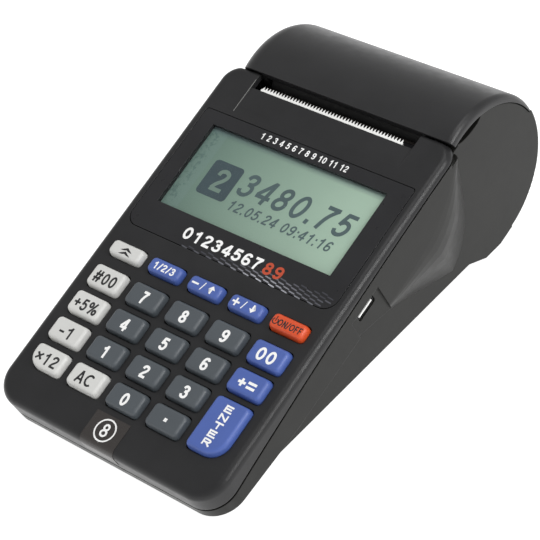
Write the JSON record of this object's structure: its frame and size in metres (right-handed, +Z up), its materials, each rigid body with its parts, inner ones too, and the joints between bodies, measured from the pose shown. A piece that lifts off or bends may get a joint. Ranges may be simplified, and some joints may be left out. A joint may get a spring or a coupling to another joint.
{
  "type": "portable cash register",
  "caption": "Portable cash register with sloping keypad deck, display panel, serrated paper slot and drum-shaped paper compartment with hinged lid.",
  "frame": {"origin": "centre of the bounding box's base, on the table", "axes": "+Z up, +X to the user's right, +Y from the user to the rear, where the paper drum is"},
  "size_m": [0.0884, 0.1579, 0.0532],
  "materials": {
    "cover_plastic": "satin near-black",
    "case_plastic": "fine grained dark grey",
    "bezel_plastic": "smooth near-black film",
    "lens_clear": "clear",
    "lcd_glass": "grey-green display",
    "key_light": "satin light grey",
    "key_slate": "satin slate grey",
    "key_blue": "satin blue",
    "key_orange": "satin orange-red",
    "rubber_black": "matt",
    "board_green": "solder-masked board",
    "steel_bright": "bright",
    "steel_plated": "zinc plated",
    "aluminium_plain": "plain",
    "ceramic_head": "glazed",
    "gear_white": "moulded acetal",
    "paper_white": "smooth thermal paper",
    "core_card": "wound card",
    "label_grey": "semi-gloss foil label",
    "battery_wrap": "shrink wrap",
    "silicone_grey": "silicone"
  },
  "bodies": {
    "case": {"lower_case": "case_plastic", "top_cover": "cover_plastic", "battery_door": "case_plastic", "door_screw": "steel_plated", "battery_pack": "battery_wrap", "rubber_feet": "rubber_black", "case_screws": "steel_plated", "hinge_pin": "steel_bright", "motor_body": "steel_plated", "idler_axle": "steel_bright", "printer_frame": "steel_plated", "print_head": "ceramic_head", "heat_sink": "aluminium_plain", "head_spring": "steel_bright", "cutter_bar": "steel_bright", "display_bezel": "bezel_plastic", "display_lens": "lens_clear", "lcd_module": "lcd_glass", "key_mat": "silicone_grey", "keypad_board": "board_green", "main_board": "board_green", "usb_socket": "steel_bright", "buzzer": "bezel_plastic", "seal_label": "label_grey"},
    "lid": {"paper_lid": "cover_plastic"},
    "platen": {"platen_shaft": "steel_bright", "platen_rubber": "rubber_black", "platen_gear": "gear_white"},
    "idler": {"idler_gear": "gear_white"},
    "motor_rotor": {"motor_shaft": "steel_bright", "motor_pinion": "gear_white"},
    "paper": {"paper_roll": "paper_white", "paper_core": "core_card"},
    "key_feed": {"key_feed": "key_light"},
    "key_shift": {"key_shift": "key_blue"},
    "key_minus": {"key_minus": "key_blue"},
    "key_plus": {"key_plus": "key_blue"},
    "key_power": {"key_power": "key_orange"},
    "key_7": {"key_7": "key_slate"},
    "key_8": {"key_8": "key_slate"},
    "key_9": {"key_9": "key_slate"},
    "key_4": {"key_4": "key_slate"},
    "key_5": {"key_5": "key_slate"},
    "key_6": {"key_6": "key_slate"},
    "key_1": {"key_1": "key_slate"},
    "key_2": {"key_2": "key_slate"},
    "key_3": {"key_3": "key_slate"},
    "key_code": {"key_code": "key_light"},
    "key_group": {"key_group": "key_light"},
    "key_void": {"key_void": "key_light"},
    "key_count": {"key_count": "key_light"},
    "key_clear": {"key_clear": "key_light"},
    "key_0": {"key_0": "key_slate"},
    "key_point": {"key_point": "key_slate"},
    "key_pay": {"key_pay": "key_blue"},
    "key_subtotal": {"key_subtotal": "key_blue"},
    "key_enter": {"key_enter": "key_blue"}
  },
  "joints": [
    {"name": "lid_hinge", "type": "hinge", "parent": "case", "child": "lid", "pos_m": [0, 0.07566, 0.03258], "axis": [-1, 0, 0], "range_deg": [0, 75]},
    {"name": "platen_spin", "type": "hinge", "parent": "lid", "child": "platen", "pos_m": [0, 0.04628, 0.04305], "axis": [1, 0, 0], "continuous": true},
    {"name": "idler_spin", "type": "hinge", "parent": "case", "child": "idler", "pos_m": [0, 0.04243, 0.03285], "axis": [1, 0, 0], "continuous": true},
    {"name": "motor_spin", "type": "hinge", "parent": "case", "child": "motor_rotor", "pos_m": [0, 0.03273, 0.03247], "axis": [1, 0, 0], "continuous": true},
    {"name": "paper_spin", "type": "hinge", "parent": "case", "child": "paper", "pos_m": [0, 0.05289, 0.0203], "axis": [1, 0, 0], "continuous": true},
    {"name": "press_feed", "type": "slide", "parent": "case", "child": "key_feed", "axis": [0, 0.2974, -0.9548], "range_m": [0, 0.0012], "stiffness_N_per_m": 400, "springref_m": -0.0006},
    {"name": "press_shift", "type": "slide", "parent": "case", "child": "key_shift", "axis": [0, 0.2974, -0.9548], "range_m": [0, 0.0012], "stiffness_N_per_m": 400, "springref_m": -0.0006},
    {"name": "press_minus", "type": "slide", "parent": "case", "child": "key_minus", "axis": [0, 0.2974, -0.9548], "range_m": [0, 0.0012], "stiffness_N_per_m": 400, "springref_m": -0.0006},
    {"name": "press_plus", "type": "slide", "parent": "case", "child": "key_plus", "axis": [0, 0.2974, -0.9548], "range_m": [0, 0.0012], "stiffness_N_per_m": 400, "springref_m": -0.0006},
    {"name": "press_power", "type": "slide", "parent": "case", "child": "key_power", "axis": [0, 0.2974, -0.9548], "range_m": [0, 0.0012], "stiffness_N_per_m": 400, "springref_m": -0.0006},
    {"name": "press_7", "type": "slide", "parent": "case", "child": "key_7", "axis": [0, 0.2974, -0.9548], "range_m": [0, 0.0012], "stiffness_N_per_m": 400, "springref_m": -0.0006},
    {"name": "press_8", "type": "slide", "parent": "case", "child": "key_8", "axis": [0, 0.2974, -0.9548], "range_m": [0, 0.0012], "stiffness_N_per_m": 400, "springref_m": -0.0006},
    {"name": "press_9", "type": "slide", "parent": "case", "child": "key_9", "axis": [0, 0.2974, -0.9548], "range_m": [0, 0.0012], "stiffness_N_per_m": 400, "springref_m": -0.0006},
    {"name": "press_4", "type": "slide", "parent": "case", "child": "key_4", "axis": [0, 0.2974, -0.9548], "range_m": [0, 0.0012], "stiffness_N_per_m": 400, "springref_m": -0.0006},
    {"name": "press_5", "type": "slide", "parent": "case", "child": "key_5", "axis": [0, 0.2974, -0.9548], "range_m": [0, 0.0012], "stiffness_N_per_m": 400, "springref_m": -0.0006},
    {"name": "press_6", "type": "slide", "parent": "case", "child": "key_6", "axis": [0, 0.2974, -0.9548], "range_m": [0, 0.0012], "stiffness_N_per_m": 400, "springref_m": -0.0006},
    {"name": "press_1", "type": "slide", "parent": "case", "child": "key_1", "axis": [0, 0.2974, -0.9548], "range_m": [0, 0.0012], "stiffness_N_per_m": 400, "springref_m": -0.0006},
    {"name": "press_2", "type": "slide", "parent": "case", "child": "key_2", "axis": [0, 0.2974, -0.9548], "range_m": [0, 0.0012], "stiffness_N_per_m": 400, "springref_m": -0.0006},
    {"name": "press_3", "type": "slide", "parent": "case", "child": "key_3", "axis": [0, 0.2974, -0.9548], "range_m": [0, 0.0012], "stiffness_N_per_m": 400, "springref_m": -0.0006},
    {"name": "press_code", "type": "slide", "parent": "case", "child": "key_code", "axis": [0, 0.2974, -0.9548], "range_m": [0, 0.0012], "stiffness_N_per_m": 400, "springref_m": -0.0006},
    {"name": "press_group", "type": "slide", "parent": "case", "child": "key_group", "axis": [0, 0.2974, -0.9548], "range_m": [0, 0.0012], "stiffness_N_per_m": 400, "springref_m": -0.0006},
    {"name": "press_void", "type": "slide", "parent": "case", "child": "key_void", "axis": [0, 0.2974, -0.9548], "range_m": [0, 0.0012], "stiffness_N_per_m": 400, "springref_m": -0.0006},
    {"name": "press_count", "type": "slide", "parent": "case", "child": "key_count", "axis": [0, 0.2974, -0.9548], "range_m": [0, 0.0012], "stiffness_N_per_m": 400, "springref_m": -0.0006},
    {"name": "press_clear", "type": "slide", "parent": "case", "child": "key_clear", "axis": [0, 0.2974, -0.9548], "range_m": [0, 0.0012], "stiffness_N_per_m": 400, "springref_m": -0.0006},
    {"name": "press_0", "type": "slide", "parent": "case", "child": "key_0", "axis": [0, 0.2974, -0.9548], "range_m": [0, 0.0012], "stiffness_N_per_m": 400, "springref_m": -0.0006},
    {"name": "press_point", "type": "slide", "parent": "case", "child": "key_point", "axis": [0, 0.2974, -0.9548], "range_m": [0, 0.0012], "stiffness_N_per_m": 400, "springref_m": -0.0006},
    {"name": "press_pay", "type": "slide", "parent": "case", "child": "key_pay", "axis": [0, 0.2974, -0.9548], "range_m": [0, 0.0012], "stiffness_N_per_m": 400, "springref_m": -0.0006},
    {"name": "press_subtotal", "type": "slide", "parent": "case", "child": "key_subtotal", "axis": [0, 0.2974, -0.9548], "range_m": [0, 0.0012], "stiffness_N_per_m": 400, "springref_m": -0.0006},
    {"name": "press_enter", "type": "slide", "parent": "case", "child": "key_enter", "axis": [0, 0.2974, -0.9548], "range_m": [0, 0.0012], "stiffness_N_per_m": 400, "springref_m": -0.0006}
  ],
  "couplings": [
    {"joint": "idler_spin", "follows": "platen_spin", "ratio": -0.8},
    {"joint": "motor_spin", "follows": "platen_spin", "ratio": 1.3333}
  ]
}
